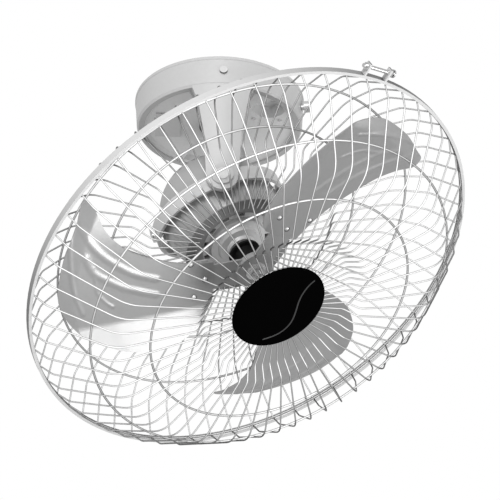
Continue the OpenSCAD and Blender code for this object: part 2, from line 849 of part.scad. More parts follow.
// Laminated stator inside the housing
module stator() {
    color([0.42, 0.42, 0.44])
    in_fan()
        translate([0, 0, -band_setback + split_offset + housing_wall])
            difference() {
                tube(rim_radius - rib_depth, boss_radius - housing_wall, split_offset);
                around(12)
                    translate([boss_radius - 2 * housing_wall, -small_step, -overrun])
                        cube([3 * housing_wall, 2 * small_step, split_offset + 2 * overrun]);
            }
}

// Copper windings on both faces of the stator
module windings() {
    color([0.72, 0.42, 0.2])
    in_fan()
        for (end = [-1, 1])
            translate([0, 0, -band_setback + split_offset + housing_wall + split_offset / 2 + end * split_offset / 2])
                rotate([end < 0 ? half_turn : 0, 0, 0])
                    tube(rim_radius - 3 * housing_wall, boss_radius + housing_wall, housing_wall);
}

// Ball bearings of the motor shaft
module bearings() {
    color([0.75, 0.76, 0.78])
    in_fan()
        for (place = [floor_bearing, rear_bearing])
            translate([0, 0, place])
                tube(boss_radius / 2.5, shaft_bore, 2 * housing_wall);
}

// Gear case behind the motor that turns the crank slowly
module gear_case() {
    color([0.35, 0.36, 0.38])
    in_head()
        difference() {
            union() {
                translate([0, 0, split_offset])
                    cylinder(r = boss_radius, h = rim_radius + housing_wall - split_offset);
                translate([0, 0, rim_radius])
                    cylinder(r = crank_hub_radius, h = housing_inner - housing_wall - rim_radius);
            }
            translate([0, 0, split_offset - overrun])
                cylinder(r = shaft_radius + small_step, h = split_offset);
            translate([0, 0, rim_radius - overrun])
                cylinder(r = crank_shaft_radius + pin_play, h = housing_radius);
        }
}

// Pressed plate that holds the rear guard on the rim of the motor
module guard_plate() {
    seat = rear_seat_height - wire_half;
    foot = rim_radius - 2 * housing_wall + small_step;
    color([0.3, 0.31, 0.32])
    in_fan()
        rotate_extrude()
            polygon([
                [foot, -rim_setback],
                [rim_radius + small_step + housing_wall, -rim_setback],
                [rim_radius + small_step + housing_wall, seat - canopy_wall / 2],
                [rear_start + 4 * housing_wall, seat - canopy_wall / 2],
                [rear_start + 4 * housing_wall, seat],
                [rim_radius + small_step, seat],
                [rim_radius + small_step, -rim_setback + canopy_wall / 2],
                [foot, -rim_setback + canopy_wall / 2]
            ]);
}

// Screws through the inner flange of that plate
module plate_screws() {
    reach = rim_radius - housing_wall / 2;
    color([0.85, 0.85, 0.86])
    in_fan()
        around(3, guard_phase + quarter_turn)
            translate([reach - housing_wall / 2, 0, -rim_setback + canopy_wall / 2])
                cylinder(r = housing_wall / 1.5, h = screw_head_height);
}

// Rear guard with its two rings on the inner side of the wires
module rear_guard() {
    color([0.84, 0.85, 0.86])
    in_fan() {
        guard_wires(rear_path);
        wire_ring(rear_ring_radius, rear_height + weld_reach + wire_half / 2);
        wire_ring(rear_outer_ring_radius, rear_outer_ring_height);
        wire_ring(rim_ring_radius, -rim_ring_height + band_middle, rim_wire_radius);
    }
}

// Channel-shaped band over the rims of both guards, with two clamp lugs
module guard_band() {
    color([0.82, 0.83, 0.84])
    in_fan() {
        rotate_extrude()
            polygon([
                [band_radius, band_wall],
                [band_radius, band_wall - band_width],
                [band_radius - band_flange, band_wall - band_width],
                [band_radius - band_flange, 2 * band_wall - band_width],
                [band_inner, 2 * band_wall - band_width],
                [band_inner, 0],
                [band_radius - band_flange, 0],
                [band_radius - band_flange, band_wall]
            ]);
        rotate([0, 0, clamp_angle + guard_phase])
            for (side = [-1, 1])
                translate([band_radius - 2 * band_wall, side * clamp_span / 2 - band_wall, band_wall - band_width])
                    difference() {
                        cube([clamp_reach + 2 * band_wall, 2 * band_wall, band_width]);
                        translate([2 * band_wall + clamp_line, -overrun, band_width / 2])
                            rotate([-quarter_turn, 0, 0])
                                cylinder(r = clamp_screw_radius, h = 2 * band_wall + 2 * overrun);
                    }
    }
}

// Long screw through the clamp lugs, with its head and two nuts
module clamp_screw() {
    color([0.85, 0.85, 0.86])
    in_fan()
        rotate([0, 0, clamp_angle + guard_phase])
            translate([band_radius + clamp_line, 0, band_wall - band_width / 2])
                rotate([-quarter_turn, 0, 0]) {
                    translate([0, 0, -clamp_screw_length / 2])
                        cylinder(r = clamp_screw_radius, h = clamp_screw_length);
                    translate([0, 0, -clamp_screw_length / 2])
                        cylinder(r = screw_head_radius, h = screw_head_height);
                    translate([0, 0, clamp_span / 2 + band_wall])
                        cylinder(r = screw_head_radius, h = screw_head_height, $fn = 6);
                    translate([0, 0, -clamp_span / 2 - band_wall - screw_head_height])
                        cylinder(r = screw_head_radius, h = screw_head_height, $fn = 6);
                }
}

// Front guard, recessed round the badge
module front_guard() {
    color([0.86, 0.87, 0.88])
    in_fan() {
        guard_wires(front_path);
        wire_ring(front_start + ring_wire_radius, front_recess_height - weld_reach);
        wire_ring(front_ring_radius, front_height - weld_reach);
        wire_ring(front_outer_ring_radius, front_outer_ring_height);
        wire_ring(rim_ring_radius, rim_ring_height + band_middle, rim_wire_radius);
    }
}

// Plain round badge in front of the middle of the guard
module badge() {
    back = front_recess_height + wire_half;
    color([0.03, 0.03, 0.035])
    in_fan()
        rotate_extrude()
            polygon([
                [0, back],
                [badge_radius - badge_thickness / 4, back],
                [badge_radius, back + badge_thickness / 4],
                [badge_radius, back + badge_thickness / 2],
                [badge_radius - badge_thickness / 4, back + badge_thickness * 0.9],
                [badge_radius - badge_thickness, back + badge_thickness],
                [0, back + badge_thickness]
            ]);
}

// Disc behind the wires that the badge is fixed to
module badge_clip() {
    color([0.2, 0.2, 0.21])
    in_fan()
        translate([0, 0, front_recess_height - wire_half - badge_thickness])
            difference() {
                cylinder(r = front_start - wire_size, h = badge_thickness + wire_size);
                translate([0, 0, -overrun])
                    cylinder(r = boss_radius, h = badge_thickness);
            }
}

// Slow crank on the back of the motor, with its arm out to the orbit pin
module crank() {
    color([0.5, 0.51, 0.53])
    in_head()
        rotate([0, 0, crank_azimuth])
            union() {
                translate([0, 0, rim_radius])
                    cylinder(r = crank_shaft_radius, h = crank_floor - rim_radius + overrun);
                translate([0, 0, crank_floor])
                    cylinder(r = crank_hub_radius, h = crank_thickness);
                translate([0, -crank_hub_radius / 2, crank_floor])
                    cube([crank_throw, crank_hub_radius, crank_thickness]);
                translate([crank_throw, 0, crank_floor])
                    cylinder(r = crank_hub_radius / 2, h = crank_thickness);
            }
}

// Pin on the end of the crank arm, along a line through the gimbal centre
module crank_pin() {
    base = crank_top / cos(crank_cone);
    color([0.8, 0.81, 0.83])
    in_head()
        rotate([0, 0, crank_azimuth])
            difference() {
                rotate([0, crank_cone, 0])
                    translate([0, 0, base - crank_pin_radius])
                        cylinder(r = crank_pin_radius, h = crank_reach - base + crank_pin_radius);
                translate([0, -crank_hub_radius, 0])
                    cube([2 * crank_throw, 2 * crank_hub_radius, crank_top]);
            }
}

// Motor shaft, from inside the gear case to the hub nut
module shaft() {
    back = -band_setback - split_offset * 1.8;
    color([0.78, 0.79, 0.8])
    in_fan()
        translate([0, 0, back])
            cylinder(r = shaft_radius, h = shaft_end - back);
}

// Squirrel-cage rotor of the motor
module motor_rotor() {
    color([0.5, 0.5, 0.52])
    in_fan()
        translate([0, 0, -band_setback + split_offset + housing_wall])
            tube(boss_radius - housing_wall - small_step / 2, shaft_radius, split_offset);
}

// Dark disc on the shaft between the motor and the blades
module rotor_disc() {
    color([0.06, 0.06, 0.06])
    in_fan()
        translate([0, 0, -rim_setback + 7 * housing_wall])
            tube(disc_radius, shaft_radius, housing_wall);
}

// Lean of the main panel at a distance across the blade
function sheet_lean(across) =
    blade_pitch + asin((fold_offset - across) / blade_curve_radius);

// Height of the main panel there
function sheet_height(across) =
    fold_height - blade_curve_radius * (cos(blade_pitch) - cos(sheet_lean(across)));

// Section of the main panel from its leading side to the fold, raised by a step
function sheet_line(rise) =
    let (steps = 10)
    [for (i = [0 : steps])
        let (across = fold_offset - (leading_reach + 2 * fold_offset) * (steps - i) / steps)
        [across, sheet_height(across) + rise]];

// Free end of the folded panel
function trailing_line(rise) = [
    fold_offset + trailing_width * 1.5,
    fold_height + trailing_width * 1.5 * tan(trailing_pitch) + rise
];

// The curved and folded sheet, drawn along the blade
module sheet(low, high) {
    rotate([quarter_turn, 0, quarter_turn])
        linear_extrude(height = sweep_radius)
            polygon(concat(
                sheet_line(high),
                [trailing_line(high), trailing_line(low)],
                [for (i = [10 : -1 : 0]) sheet_line(low)[i]]
            ));
}

// Plan of the blade, with the root at the left and the leading edge below
module blade_plan() {
    intersection() {
        circle(r = sweep_radius, $fn = 180);
        polygon([for (p = concat(lead_shares, tip_shares, trail_shares)) sweep_radius * p]);
    }
}

// A raised line of even width along a rounded path, in the plan of the blade
module emboss(shares, radius) {
    path = rounded(sweep_radius * shares, [0, radius, 0]);
    linear_extrude(height = 2 * leading_reach, center = true)
        polygon(strip(path, emboss_width));
}

// One blade with its fold and its four embossed ribs
module blade() {
    intersection() {
        sheet(-blade_thickness / 2, blade_thickness / 2);
        linear_extrude(height = 2 * leading_reach, center = true)
            blade_plan();
    }
    intersection() {
        sheet(0, blade_thickness / 2 + emboss_height);
        union() {
            emboss(outer_rib_shares, rib_bend);
            emboss(short_rib_shares, short_rib_bend);
            emboss(upper_rib_shares, rib_bend);
            emboss(lower_rib_shares, rib_bend);
        }
    }
}

// A blade turned to its place on the carrier
module placed_blade(index) {
    color([0.78, 0.79, 0.8])
    in_fan()
        rotate([0, 0, blade_angle + guard_phase + index * full_turn / blade_count])
            blade();
}

module blade_a() {
    placed_blade(0);
}

module blade_b() {
    placed_blade(1);
}

module blade_c() {
    placed_blade(2);
}

// Three-arm carrier behind the blade roots, pitched like the blades
module blade_carrier() {
    top = -blade_thickness / 2;
    color([0.7, 0.71, 0.72])
    in_fan()
        difference() {
            union() {
                around(blade_count, blade_angle + guard_phase)
                    intersection() {
                        sheet(top - carrier_thickness, top);
                        linear_extrude(height = 2 * leading_reach, center = true) {
                            translate([0, -carrier_width / 2])
                                square([blade_root + hub_radius, carrier_width]);
                            translate([blade_root + hub_radius / 3, -carrier_width * 0.75])
                                square([hub_radius, carrier_width * 1.6]);
                        }
                    }
                translate([0, 0, -carrier_thickness])
                    cylinder(r = hub_radius, h = 3 * carrier_thickness);
                translate([0, 0, -rim_setback + 8 * housing_wall])
                    cylinder(r = hub_radius * 0.6, h = rim_setback - 8 * housing_wall);
            }
            translate([0, 0, -rim_setback])
                cylinder(r = shaft_radius, h = 2 * rim_setback);
        }
}

// Three rivets through each blade into the carrier
module blade_rivets() {
    color([0.85, 0.85, 0.86])
    in_fan()
        around(blade_count, blade_angle + guard_phase)
            for (spot = sweep_radius * rivet_shares)
                translate([spot[0], spot[1], sheet_height(spot[1]) + blade_thickness / 2])
                    rotate([sheet_lean(spot[1]), 0, 0])
                        cylinder(r = 1.5 * screw_radius, h = screw_radius);
}

// Hexagon nut and washer that hold the carrier on the shaft
module hub_nut() {
    base = 2 * carrier_thickness;
    color([0.85, 0.85, 0.86])
    in_fan()
        difference() {
            union() {
                translate([0, 0, base])
                    cylinder(r = 2.6 * shaft_radius, h = small_step);
                translate([0, 0, base + small_step])
                    cylinder(r = 2 * shaft_radius, h = 1.4 * shaft_radius, $fn = 6);
            }
            cylinder(r = shaft_radius, h = 10 * shaft_radius);
        }
}

ceiling_plate();
canopy();
underside_dish();
dish_cover();
dish_rivets();
orbit_socket();
canopy_screws();
canopy_knob();
yoke_pins();
yoke_washers();
gimbal_ring();
head_pins();
pin_nuts();
rear_cover();
front_shell();
front_boss();
stator();
windings();
bearings();
gear_case();
guard_plate();
plate_screws();
rear_guard();
guard_band();
clamp_screw();
front_guard();
badge();
badge_clip();
crank();
crank_pin();
shaft();
motor_rotor();
rotor_disc();
blade_carrier();
blade_a();
blade_b();
blade_c();
blade_rivets();
hub_nut();
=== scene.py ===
# Orbital ceiling fan: looks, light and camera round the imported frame.
import bpy
import bmesh
import math
from mathutils import Matrix, Vector


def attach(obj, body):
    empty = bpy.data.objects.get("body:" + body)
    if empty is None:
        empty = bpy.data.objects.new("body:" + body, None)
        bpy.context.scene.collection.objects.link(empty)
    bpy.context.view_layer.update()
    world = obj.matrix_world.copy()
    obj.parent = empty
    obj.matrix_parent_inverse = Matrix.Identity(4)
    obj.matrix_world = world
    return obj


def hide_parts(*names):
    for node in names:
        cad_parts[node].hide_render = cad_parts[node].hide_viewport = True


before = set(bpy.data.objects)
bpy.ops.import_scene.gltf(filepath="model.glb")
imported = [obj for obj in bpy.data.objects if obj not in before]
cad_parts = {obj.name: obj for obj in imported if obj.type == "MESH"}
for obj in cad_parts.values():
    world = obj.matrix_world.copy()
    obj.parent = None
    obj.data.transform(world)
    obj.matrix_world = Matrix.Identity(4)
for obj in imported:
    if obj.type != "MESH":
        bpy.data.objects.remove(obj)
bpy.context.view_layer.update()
mm = 0.001
print("frame loaded")

# The fan hangs in the pose of the photograph, given by its two tilts in degrees.
pose = {"ring": -23.6, "head": -18.9, "drop": 131 * mm, "setback": 89.5 * mm, "phase": -4.6}
ringTurn = Matrix.Rotation(math.radians(pose["ring"]), 4, "Y")
headTurn = ringTurn @ Matrix.Rotation(math.radians(pose["head"]), 4, "X")
headPlace = Matrix.Translation((0, 0, -pose["drop"])) @ headTurn
fanPlace = headPlace @ Matrix.Rotation(math.pi, 4, "X") @ Matrix.Translation((0, 0, pose["setback"]))
fanPlace = fanPlace @ Matrix.Rotation(math.radians(pose["phase"]), 4, "Z")
fanAxis = fanPlace.to_3x3() @ Vector((0, 0, 1))


# One socket of a shader, so that sums of sockets can be written as they are said
class Val:
    def __init__(self, socket):
        self.socket = socket

    # Adds a node of a type, with its settings and what its sockets take, and gives one of its outputs
    def node(self, kind, output, settings=None, inputs=None):
        made = self.socket.id_data.nodes.new("ShaderNode" + kind)
        for name, value in (settings or {}).items():
            setattr(made, name, value)
        for name, value in (inputs or {}).items():
            feed(made.inputs[name], value)
        return Val(made.outputs[output])

    def math(self, operation, a, b):
        return self.node("Math", 0, {"operation": operation}, {0: a, 1: b})

    def __add__(self, other): return self.math("ADD", self, other)
    def __radd__(self, other): return self.math("ADD", other, self)
    def __sub__(self, other): return self.math("SUBTRACT", self, other)
    def __rsub__(self, other): return self.math("SUBTRACT", other, self)
    def __mul__(self, other): return self.math("MULTIPLY", self, other)
    def __rmul__(self, other): return self.math("MULTIPLY", other, self)


# Links one socket to another or sets its plain value
def feed(socket, value):
    if isinstance(value, Val):
        socket.id_data.links.new(value.socket, socket)
    else:
        socket.default_value = value


def grey(level):
    return (level, level, level, 1)


# What all finishes share: a clear coat, faint clouds in colour and roughness, and the black of deep shade
surface = {"coatRough": 0.12, "cloudScale": 260.0, "cloudDetail": 2.0, "roughSpread": 0.08, "black": 0.006}


# Darkens a colour where the surface turns away from the eye: painted edge shade, standing in for the dim
# surroundings that a glossy wire mirrors at its sides
def paintEdgeShade(tint, amount):
    facing = tint.node("LayerWeight", "Facing", inputs={"Blend": 0.5})
    multiply = {"data_type": "RGBA", "blend_type": "MULTIPLY"}
    return tint.node("Mix", 2, multiply, {0: facing * amount, 6: tint, 7: grey(0.0)})


# Paints deep shade: blackens what lies less far along the fan's axis than a limit, measured from the
# gimbal, standing in for the shade of the gap between the motor's nose and the blade carrier
def paintShadeBehind(tint, place, limit):
    along = place.node("VectorMath", "Value", {"operation": "DOT_PRODUCT"}, {0: place, 1: fanAxis})
    behind = along.math("LESS_THAN", along, limit + fanAxis.dot(headPlace.translation))
    return tint.node("Mix", 2, {"data_type": "RGBA"}, {0: behind, 6: tint, 7: grey(surface["black"])})


# A painted, metal or plastic finish, with faint mottling so that it doesn't look like a flat colour
def makeFinish(name, colour, rough, metal=0.0, coat=0.0, mottle=0.04, edge=0.0, shine=0.5, black=0.0):
    material = bpy.data.materials.new(name)
    material.use_nodes = True
    shader = material.node_tree.nodes["Principled BSDF"]
    place = Val(shader.outputs[0]).node("TexCoord", "Object")
    grain = {"Vector": place, "Scale": surface["cloudScale"], "Detail": surface["cloudDetail"]}
    cloud = place.node("TexNoise", "Fac", inputs=grain)
    low = tuple(c * (1 - mottle) for c in colour[:3]) + (1,)
    high = tuple(min(1, c * (1 + mottle)) for c in colour[:3]) + (1,)
    tint = cloud.node("Mix", 2, {"data_type": "RGBA"}, {0: cloud, 6: low, 7: high})
    # Painted shade at grazing edges, where the surface turns away from the eye
    if edge:
        tint = paintEdgeShade(tint, edge)
    # Painted deep shade on what lies behind a plane along the fan's axis
    if black:
        tint = paintShadeBehind(tint, place, black)
    spread = surface["roughSpread"]
    sockets = {
        "Base Color": tint, "Metallic": metal, "Roughness": cloud * spread + (rough - spread / 2),
        "Specular IOR Level": shine, "Coat Weight": coat, "Coat Roughness": surface["coatRough"],
    }
    for socketName, value in sockets.items():
        feed(shader.inputs[socketName], value)
    return material


# The "edge" entries paint shade into the colour at grazing edges
paints = {
    "canopyPaint": {"colour": grey(0.47), "rough": 0.42, "coat": 0.3},
    "dishSteel": {"colour": grey(0.78), "rough": 0.4, "metal": 0.1},
    "bareSteel": {"colour": grey(0.6), "rough": 0.35, "metal": 0.6},
    "brightSteel": {"colour": grey(0.8), "rough": 0.2, "metal": 1.0, "edge": 0.5},
    "rivetSteel": {"colour": grey(0.9), "rough": 0.25, "metal": 0.3, "edge": 1.8},
    "darkIron": {"colour": grey(0.12), "rough": 0.5, "metal": 0.3},
    "statorSteel": {"colour": grey(0.26), "rough": 0.5, "metal": 0.2},
    "blackPlastic": {"colour": grey(0.008), "rough": 0.5, "shine": 0.15},
    "ringPaint": {"colour": grey(0.52), "rough": 0.4, "coat": 0.3},
    "motorPaint": {"colour": grey(0.34), "rough": 0.42, "coat": 0.1},
    "shellAlloy": {"colour": grey(0.44), "rough": 0.45, "metal": 0.2},
    "bossAlloy": {"colour": grey(0.6), "rough": 0.4, "metal": 0.2},
    "copper": {"colour": (0.5, 0.2, 0.08, 1), "rough": 0.4, "metal": 0.9},
    "guardPaint": {"colour": grey(0.9), "rough": 0.3, "coat": 0.1, "edge": 1.7},
    "bandPaint": {"colour": grey(0.95), "rough": 0.35, "coat": 0.3, "edge": 1.3},
    "badgeBlack": {"colour": grey(0.0012), "rough": 0.35, "mottle": 0.0, "shine": 0.0},
    "badgeLine": {"colour": grey(0.03), "rough": 0.3, "mottle": 0.0, "shine": 0.3},
    "bladePaint": {"colour": grey(0.39), "rough": 0.34, "metal": 0.6, "edge": 0.1},
    # The carrier's own grey steel, with painted deep shade on what lies behind a plane along the fan's
    # axis
    "carrierSteelAndShade": {"colour": grey(0.34), "rough": 0.4, "metal": 0.3, "black": 0.085},
}
finishes = {name: makeFinish(name, **paint) for name, paint in paints.items()}
print("finishes made")

# Finish of each node of the frame
wear = {
    "ceiling_plate": "bareSteel", "canopy": "canopyPaint", "underside_dish": "dishSteel",
    "dish_cover": "bareSteel", "dish_rivets": "brightSteel", "orbit_socket": "darkIron",
    "canopy_screws": "rivetSteel", "canopy_knob": "bareSteel", "yoke_pins": "brightSteel",
    "yoke_washers": "blackPlastic", "gimbal_ring": "ringPaint", "head_pins": "brightSteel",
    "pin_nuts": "brightSteel", "rear_cover": "motorPaint", "front_shell": "shellAlloy",
    "front_boss": "bossAlloy", "stator": "statorSteel", "windings": "copper", "bearings": "brightSteel",
    "gear_case": "darkIron", "guard_plate": "statorSteel", "plate_screws": "brightSteel",
    "rear_guard": "guardPaint", "guard_band": "bandPaint", "clamp_screw": "brightSteel",
    "front_guard": "guardPaint", "badge": "badgeBlack", "badge_clip": "blackPlastic",
    "crank": "darkIron", "crank_pin": "brightSteel", "shaft": "brightSteel", "motor_rotor": "darkIron",
    "rotor_disc": "blackPlastic", "blade_carrier": "carrierSteelAndShade", "blade_a": "bladePaint",
    "blade_b": "bladePaint", "blade_c": "bladePaint", "blade_rivets": "rivetSteel",
    "hub_nut": "brightSteel",
}
for nodeName, finishName in wear.items():
    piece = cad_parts[nodeName]
    piece.data.materials.clear()
    piece.data.materials.append(finishes[finishName])


# Turns a bmesh into a finished piece that moves with one body
def addPiece(name, mesh, finish, body, place, smooth=35):
    bmesh.ops.transform(mesh, matrix=place, verts=mesh.verts)
    data = bpy.data.meshes.new(name)
    mesh.to_mesh(data)
    mesh.free()
    made = bpy.data.objects.new(name, data)
    bpy.context.scene.collection.objects.link(made)
    data.materials.append(finishes[finish])
    data.shade_smooth()
    data.set_sharp_from_angle(angle=math.radians(smooth))
    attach(made, body)
    return made


# Direction along a path of flat points at one of them
def alongAt(points, index):
    before, after = points[max(index - 1, 0)], points[min(index + 1, len(points) - 1)]
    return (after - before).normalized()


# Replaces each inner corner of a path by an arc
def roundCorners(points, radii, steps=5):
    made = [points[0]]
    for index in range(1, len(points) - 1):
        corner, radius = points[index], radii[index]
        u = (points[index - 1] - corner).normalized()
        v = (points[index + 1] - corner).normalized()
        opening = u.angle(v)
        reach = radius / math.tan(opening / 2)
        middle = corner + (u + v).normalized() * radius / math.sin(opening / 2)
        start = corner + u * reach - middle
        end = corner + v * reach - middle
        for step in range(steps + 1):
            made.append(middle + start.normalized().slerp(end.normalized(), step / steps) * radius)
    made.append(points[-1])
    return made


# Sweeps a round section along a path that lies in the plane of the axis
def sweepWire(mesh, points, radius, sides=8):
    start = bmesh.ops.create_circle(mesh, cap_ends=False, segments=sides, radius=radius)["verts"]
    loop = list({edge for vert in start for edge in vert.link_edges})
    places = []
    for index, point in enumerate(points):
        along = alongAt(points, index)
        turn = Vector((0, 0, 1)).rotation_difference(along).to_matrix().to_4x4()
        places.append(Matrix.Translation(point) @ turn)
    bmesh.ops.transform(mesh, matrix=places[0], verts=start)
    bmesh.ops.contextual_create(mesh, geom=loop)
    for before, after in zip(places, places[1:]):
        grown = bmesh.ops.extrude_edge_only(mesh, edges=loop)["geom"]
        ring = [part for part in grown if isinstance(part, bmesh.types.BMVert)]
        loop = [part for part in grown if isinstance(part, bmesh.types.BMEdge)]
        bmesh.ops.transform(mesh, matrix=after @ before.inverted(), verts=ring)
    bmesh.ops.contextual_create(mesh, geom=loop)


# Turns a profile a full turn round the axis
def spinRound(mesh, geom, steps):
    bmesh.ops.spin(mesh, geom=geom, cent=(0, 0, 0), axis=(0, 0, 1), angle=2 * math.pi,
                   steps=steps, use_merge=True)


# A closed ring of wire round the axis
def spinRing(mesh, radius, height, section, sides=8, steps=180):
    start = bmesh.ops.create_circle(mesh, cap_ends=False, segments=sides, radius=section)["verts"]
    place = Matrix.Translation((radius, 0, height)) @ Matrix.Rotation(math.pi / 2, 4, "X")
    bmesh.ops.transform(mesh, matrix=place, verts=start)
    loop = list({edge for vert in start for edge in vert.link_edges})
    spinRound(mesh, start + loop, steps)


# Both guards, in mm from the plane of the band and from the axis
guard = {
    "wires": 60, "wire": 0.8, "ring": 1.1, "rim": 1.25, "rimRadius": 230.25,
    "front": [(44, 57.5), (77, 57.5), (89, 68), (170, 68), (222, 15), (229, -1.25)],
    "frontBends": [0, 8, 8, 30, 14, 0],
    "frontRings": [(45.1, 56), (135, 66.5), (188, 47.5)],
    "rear": [(47, -36), (99, -36), (114, -54.5), (178, -51.5), (210, -32.5), (229, -3.75)],
    "rearBends": [0, 8, 8, 40, 20, 0],
    "rearRings": [(133, -52.5), (188, -43.8)],
}


def buildGuard(name, side):
    mesh = bmesh.new()
    corners = [Vector((r, 0, z)) * mm for r, z in guard[side]]
    path = roundCorners(corners, [bend * mm for bend in guard[side + "Bends"]])
    sweepWire(mesh, path, guard["wire"] * mm)
    single = list(mesh.verts) + list(mesh.edges) + list(mesh.faces)
    for index in range(1, guard["wires"]):
        copied = bmesh.ops.duplicate(mesh, geom=single)["geom"]
        verts = [part for part in copied if isinstance(part, bmesh.types.BMVert)]
        turn = Matrix.Rotation(2 * math.pi * index / guard["wires"], 4, "Z")
        bmesh.ops.transform(mesh, matrix=turn, verts=verts)
    for radius, height in guard[side + "Rings"]:
        spinRing(mesh, radius * mm, height * mm, guard["ring"] * mm)
    spinRing(mesh, guard["rimRadius"] * mm, corners[-1].z, guard["rim"] * mm)
    bmesh.ops.recalc_face_normals(mesh, faces=mesh.faces)
    made = addPiece(name, mesh, "guardPaint", "head", fanPlace, smooth=60)
    return made


frontWires = buildGuard("frontWires", "front")
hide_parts("front_guard")
rearWires = buildGuard("rearWires", "rear")
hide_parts("rear_guard")
print("guards made")


# A point on a smooth curve through a list of points, from 0 at its start to 1 at its end
def curveAt(points, share):
    lengths = [0.0]
    for before, after in zip(points, points[1:]):
        lengths.append(lengths[-1] + (after - before).length)
    reach = share * lengths[-1]
    index = min(sum(1 for length in lengths[1:-1] if length <= reach), len(points) - 2)
    span = (reach - lengths[index]) / (lengths[index + 1] - lengths[index])
    a, b = points[index], points[index + 1]
    early, late = points[max(index - 1, 0)], points[min(index + 2, len(points) - 1)]
    pull = (b - early) / 2 * span + (2 * early - 5 * a + 4 * b - late) / 2 * span ** 2
    return a + pull + (3 * a - early - 3 * b + late) / 2 * span ** 3


# The blade in mm, drawn along X with its leading side towards -Y
blade = {
    "angle": 172, "count": 3, "reach": 200, "thickness": 1.2, "along": 130, "across": 100,
    "fold": 29, "foldHeight": 6, "pitch": 5.7, "curve": 1250, "foldPitch": 28, "foldBend": 3,
    "lead": [(45, -20), (70, -24), (93, -31), (117, -42), (138, -55), (152, -72), (158, -86), (162, -97)],
    "tip": [(162, -97), (166, -102), (171.5, -100.5), (180, -80), (192, -52), (199, -20), (199.5, -2),
            (197, 8), (192, 20), (183, 32), (170, 42)],
    "trail": [(45, 24), (50, 32), (67, 50), (95, 60), (115, 60), (138, 56), (154, 50), (170, 42)],
    "ribSteps": 80,
    "ribs": [
        {"path": [(178, 12), (186, -15), (188, -44), (186, -70), (178, -95)], "width": 3.2, "height": 1.0},
        {"path": [(148, 9), (156, 1), (163, -10), (165, -24), (167, -39)], "width": 2.6, "height": 0.8},
        {"path": [(104, 4), (120, -3), (137, -11), (153, -22), (167, -34), (174, -51)],
         "width": 5.5, "height": 1.0},
        {"path": [(104, -14), (120, -21), (132, -28), (148, -41), (161, -54), (171, -69), (177, -82)],
         "width": 5.5, "height": 1.0},
    ],
    "droop": {"radius": 184, "slope": 0.45, "ease": 3, "tip": -50, "tipSpan": 50, "tipDrop": 5.5},
    "bendStart": 60, "bendPower": 1.5, "bends": [-6, -6, 11], "turns": [2.5, 0, -1],
}


def bladeAngle(index):
    return blade["angle"] + index * 360 / blade["count"]


# Height of the blade's middle surface at a distance across it
def sheetHeight(across):
    start = math.radians(blade["pitch"])
    inward = min(across, blade["fold"])
    lean = start + math.asin((blade["fold"] - inward) / blade["curve"])
    height = blade["foldHeight"] - blade["curve"] * (math.cos(start) - math.cos(lean))
    past = across - blade["fold"]
    bend = blade["foldBend"]
    raised = max(past, 0) if abs(past) > bend else (past + bend) ** 2 / (4 * bend)
    return height + raised * math.tan(math.radians(blade["foldPitch"]))


# How far the outer border and the leading corner of the tip are bent back
def droopAt(spot):
    droop = blade["droop"]
    border = max(spot.length - droop["radius"], 0)
    corner = max(droop["tip"] - spot.y, 0) / droop["tipSpan"]
    return droop["slope"] * border ** 2 / (border + droop["ease"]) + droop["tipDrop"] * corner ** 2


# Height of the embossed ribs at a place on the blade
def ribHeight(spot, lines):
    raised = 0.0
    for line in lines:
        near = min((spot - point).length for point in line["points"])
        if near < line["width"]:
            raised = max(raised, line["height"] * (0.5 + 0.5 * math.cos(math.pi * near / line["width"])))
    return raised


# Each blade has been bent a little by its own amount, as in the photograph
def bendAt(spot, bend):
    start = blade["bendStart"]
    return bend * (max(spot.length - start, 0) / (blade["reach"] - start)) ** blade["bendPower"]


def buildBlade(name, node, angle, bend):
    lead, tip, trail = ([Vector(p) for p in blade[side]] for side in ("lead", "tip", "trail"))
    lines = []
    for rib in blade["ribs"]:
        corners = [Vector(p) for p in rib["path"]]
        points = [curveAt(corners, step / blade["ribSteps"]) for step in range(blade["ribSteps"] + 1)]
        lines.append({"points": points, "width": rib["width"], "height": rib["height"]})
    mesh = bmesh.new()
    bmesh.ops.create_grid(mesh, x_segments=blade["along"], y_segments=blade["across"], size=0.5)
    for vert in mesh.verts:
        along, across = vert.co.x + 0.5, vert.co.y + 0.5
        low, high = curveAt(lead, along), curveAt(trail, along)
        inner, outer = lead[0].lerp(trail[0], across), curveAt(tip, across)
        corner = inner.lerp(lead[-1].lerp(trail[-1], across), along)
        spot = low.lerp(high, across) + inner.lerp(outer, along) - corner
        height = sheetHeight(spot.y) + ribHeight(spot, lines) - droopAt(spot) + bendAt(spot, bend)
        vert.co = Vector((spot.x, spot.y, height)) * mm
    bmesh.ops.translate(mesh, verts=mesh.verts, vec=(0, 0, -blade["thickness"] / 2 * mm))
    grown = bmesh.ops.extrude_face_region(mesh, geom=mesh.faces[:])["geom"]
    upper = [part for part in grown if isinstance(part, bmesh.types.BMVert)]
    bmesh.ops.translate(mesh, verts=upper, vec=(0, 0, blade["thickness"] * mm))
    bmesh.ops.recalc_face_normals(mesh, faces=mesh.faces)
    place = fanPlace @ Matrix.Rotation(math.radians(angle), 4, "Z")
    made = addPiece(name, mesh, "bladePaint", "rotor", place, smooth=40)
    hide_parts(node)


for index, letter in enumerate("abc"):
    angle = bladeAngle(index) + blade["turns"][index]
    buildBlade("blade" + letter.upper(), "blade_" + letter, angle, blade["bends"][index])
print("blades made")

# Domed rivet heads on the blades, in mm
rivet = {
    "radius": 3, "height": 2, "under": 0.1, "segments": 20, "rings": 12,
    "places": [(70, -20), (64, 19), (54, 0)],
}


